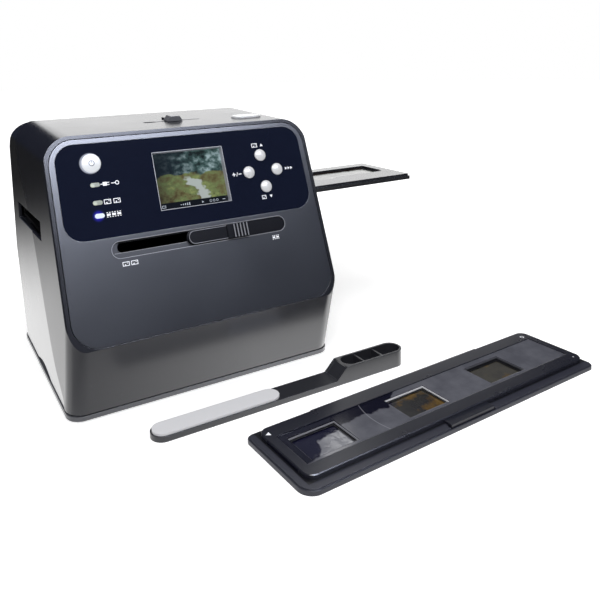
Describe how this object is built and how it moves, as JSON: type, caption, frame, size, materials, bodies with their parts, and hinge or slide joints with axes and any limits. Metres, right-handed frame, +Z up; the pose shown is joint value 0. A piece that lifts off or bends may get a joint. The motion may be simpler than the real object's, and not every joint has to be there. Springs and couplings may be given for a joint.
{
  "type": "film negative scanner",
  "caption": "Upright film and print scanner with a leaning control panel, an inserted film tray, a loose strip holder with a hinged cover, and a cleaning brush.",
  "frame": {"origin": "middle of the scanner's base plate, on the table it stands on", "axes": "+X to the right as the user faces the control panel, +Y to the back, +Z up"},
  "size_m": [0.3265, 0.2959, 0.1741],
  "materials": {
    "base_plastic": "satin moulded",
    "mat_white": "matt",
    "foot_rubber": "matt",
    "housing_gloss": "high gloss lacquer",
    "fascia_satin": "satin gloss",
    "panel_black": "mirror black",
    "bezel_grey": "satin",
    "screen_glass": "glossy display",
    "led_window": "frosted translucent",
    "circuit_board": "solder mask",
    "button_silver": "silvered plastic",
    "button_white": "pearl white",
    "slider_grey": "satin gloss",
    "inner_black": "matt black",
    "light_white": "opal",
    "steel": "bright",
    "tray_plastic": "satin gloss",
    "film_brown": "film base",
    "brush_plastic": "satin gloss",
    "pad_white": "velvet pad"
  },
  "bodies": {
    "base": {"base_plate": "base_plastic", "print_mat": "mat_white", "rubber_feet": "foot_rubber"},
    "housing": {"front_housing": "housing_gloss", "rear_housing": "housing_gloss", "front_fascia": "fascia_satin", "control_panel": "panel_black", "screen_bezel": "bezel_grey", "screen_module": "screen_glass", "indicator_windows": "led_window", "button_board": "circuit_board", "top_board": "circuit_board", "film_gate": "inner_black", "camera_bracket": "steel", "lens_barrel": "inner_black", "sensor_board": "circuit_board", "light_hood": "inner_black", "print_lamps": "light_white", "main_board": "circuit_board", "usb_socket": "steel", "card_socket": "steel", "case_screws": "steel"},
    "mode_slide": {"mode_slider": "slider_grey", "backlight_carriage": "inner_black", "backlight_panel": "light_white"},
    "tray": {"film_tray": "tray_plastic", "tray_film": "film_brown"},
    "format_knob": {"format_slider": "slider_grey"},
    "scan_key": {"scan_button": "button_white"},
    "power_key": {"power_button": "button_white"},
    "up_key": {"up_button": "button_silver"},
    "down_key": {"down_button": "button_silver"},
    "left_key": {"left_button": "button_silver"},
    "right_key": {"right_button": "button_silver"},
    "holder": {"holder_base": "tray_plastic", "film_strip": "film_brown", "hinge_pins": "steel"},
    "holder_lid": {"holder_cover": "tray_plastic"},
    "brush": {"brush_handle": "brush_plastic", "brush_pad": "pad_white"}
  },
  "joints": [
    {"name": "housing_lift", "type": "slide", "parent": "base", "child": "housing", "axis": [0, 0, 1], "range_m": [0, 0.12]},
    {"name": "mode_slide_x", "type": "slide", "parent": "housing", "child": "mode_slide", "axis": [1, 0, 0], "range_m": [-0.049, 0]},
    {"name": "tray_slide_x", "type": "slide", "parent": "housing", "child": "tray", "axis": [1, 0, 0], "range_m": [-0.12, 0.08]},
    {"name": "format_slide_x", "type": "slide", "parent": "housing", "child": "format_knob", "axis": [1, 0, 0], "range_m": [-0.017, 0.016]},
    {"name": "scan_press", "type": "slide", "parent": "housing", "child": "scan_key", "axis": [0, 0.0349, -0.9994], "range_m": [0, 0.0008], "stiffness_N_per_m": 1500},
    {"name": "power_press", "type": "slide", "parent": "housing", "child": "power_key", "axis": [0, 0.932, -0.3624], "range_m": [0, 0.0006], "stiffness_N_per_m": 1000},
    {"name": "up_press", "type": "slide", "parent": "housing", "child": "up_key", "axis": [0, 0.932, -0.3624], "range_m": [0, 0.0006], "stiffness_N_per_m": 1000},
    {"name": "down_press", "type": "slide", "parent": "housing", "child": "down_key", "axis": [0, 0.932, -0.3624], "range_m": [0, 0.0006], "stiffness_N_per_m": 1000},
    {"name": "left_press", "type": "slide", "parent": "housing", "child": "left_key", "axis": [0, 0.932, -0.3624], "range_m": [0, 0.0006], "stiffness_N_per_m": 1000},
    {"name": "right_press", "type": "slide", "parent": "housing", "child": "right_key", "axis": [0, 0.932, -0.3624], "range_m": [0, 0.0006], "stiffness_N_per_m": 1000},
    {"name": "holder_lift", "type": "slide", "parent": "base", "child": "holder", "axis": [0, 0, 1], "range_m": [0, 0.1]},
    {"name": "lid_hinge", "type": "hinge", "parent": "holder", "child": "holder_lid", "pos_m": [0.10796, -0.13878, 0.0032], "axis": [-0.9989, -0.0478, 0], "range_deg": [0, 110]},
    {"name": "brush_lift", "type": "slide", "parent": "base", "child": "brush", "axis": [0, 0, 1], "range_m": [0, 0.1]}
  ]
}
